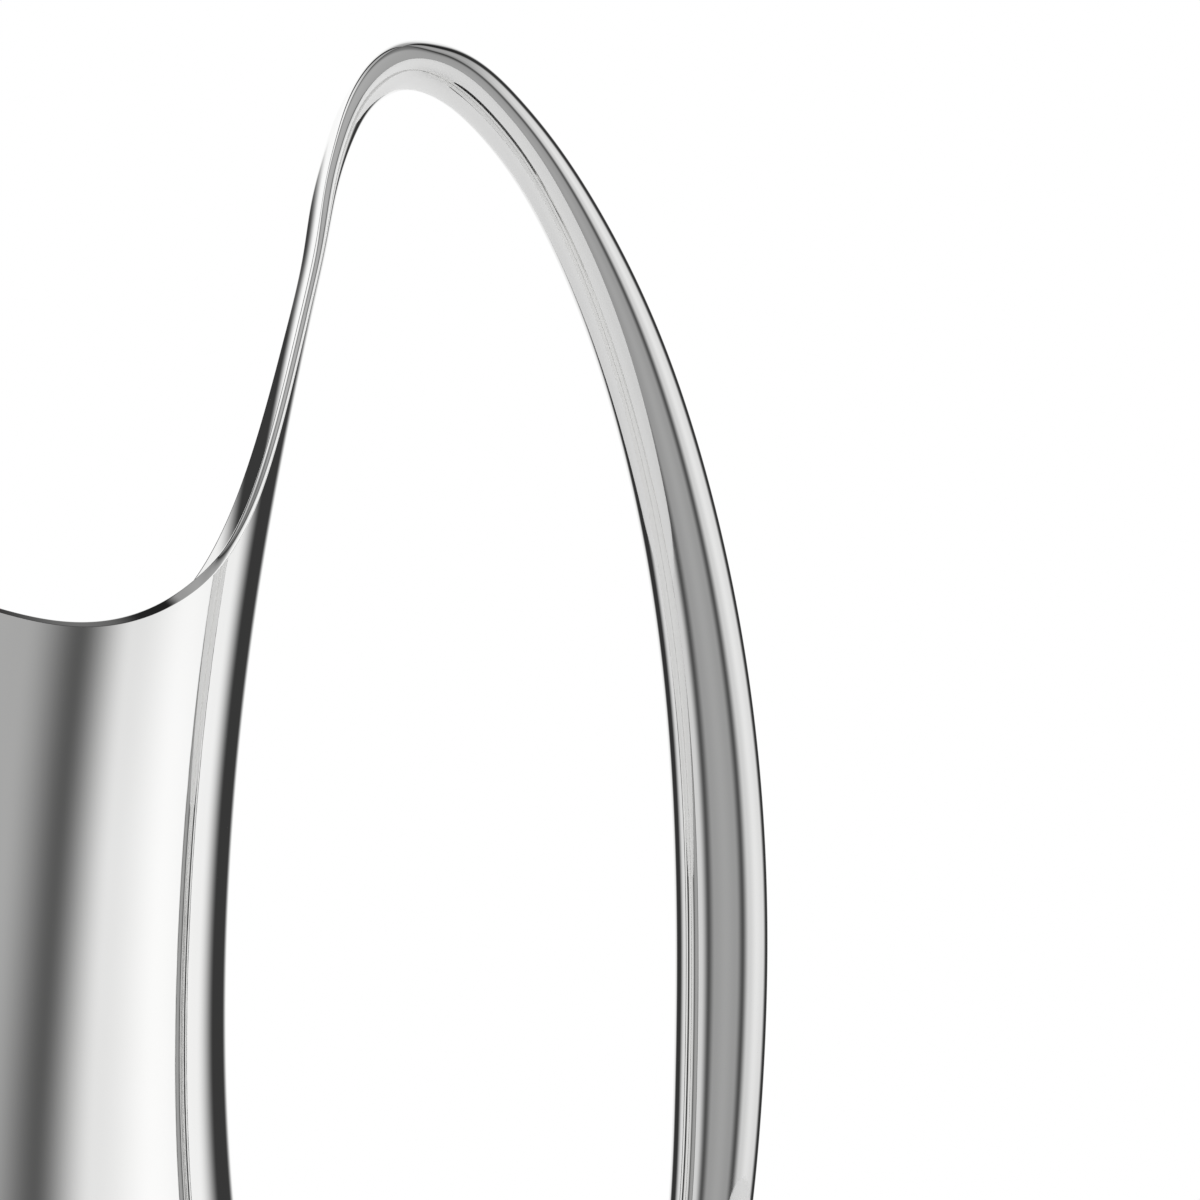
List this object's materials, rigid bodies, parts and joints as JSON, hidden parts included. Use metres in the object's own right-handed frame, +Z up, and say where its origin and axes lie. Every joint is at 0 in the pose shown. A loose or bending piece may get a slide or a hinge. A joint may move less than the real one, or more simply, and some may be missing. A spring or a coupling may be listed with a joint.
{
  "type": "water pitcher",
  "caption": "Tall polished silver water pitcher with a round belly, a swept spout and a slim loop handle that grows out of the back of the mouth.",
  "frame": {"origin": "centre of the flat underside, on the surface that the pitcher stands on", "axes": "+Z up, spout towards -X, handle towards +X, Y across; the pitcher is symmetric about the plane Y = 0"},
  "size_m": [0.1903, 0.1214, 0.286],
  "materials": {
    "polished_silver": "mirror polish",
    "satin_silver": "satin"
  },
  "bodies": {
    "root": {"body_shell": "polished_silver", "rim_wire": "polished_silver", "base_plate": "satin_silver", "foot_ring": "polished_silver", "handle_neck": "polished_silver", "handle_inner_half": "polished_silver", "handle_outer_half": "polished_silver", "handle_root": "polished_silver"}
  },
  "joints": []
}
